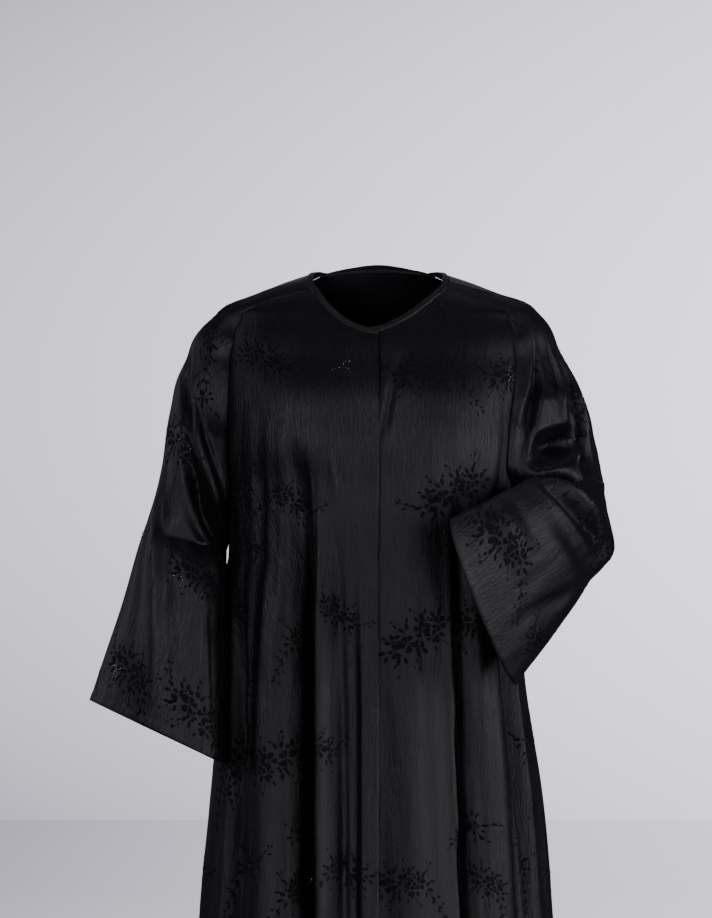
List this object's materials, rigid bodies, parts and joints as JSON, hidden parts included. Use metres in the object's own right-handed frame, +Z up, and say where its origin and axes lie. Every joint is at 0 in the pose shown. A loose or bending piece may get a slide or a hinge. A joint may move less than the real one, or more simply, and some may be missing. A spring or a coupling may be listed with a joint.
{
  "type": "worn abaya cloak",
  "caption": "Loose floor-length open-front abaya cloak with wide raglan sleeves, held in its hollow worn form with one arm bent; crinkled black satin with tonal flower sprays.",
  "frame": {"origin": "on the body's centre line at the height of the side of the neck, where the shoulders carry the cloak", "axes": "+Z up, the wearer faces -Y, the wearer's left is +X"},
  "size_m": [0.6429, 0.4301, 1.4712],
  "materials": {
    "cloak_cloth": "black crinkled satin with a tonal woven flower pattern and a soft sheen",
    "binding_cloth": "plain black satin binding"
  },
  "bodies": {
    "root": {"front_right": "cloak_cloth", "front_left": "cloak_cloth", "back": "cloak_cloth", "sleeve_right": "cloak_cloth", "sleeve_left": "cloak_cloth", "neck_binding": "binding_cloth"}
  },
  "joints": []
}
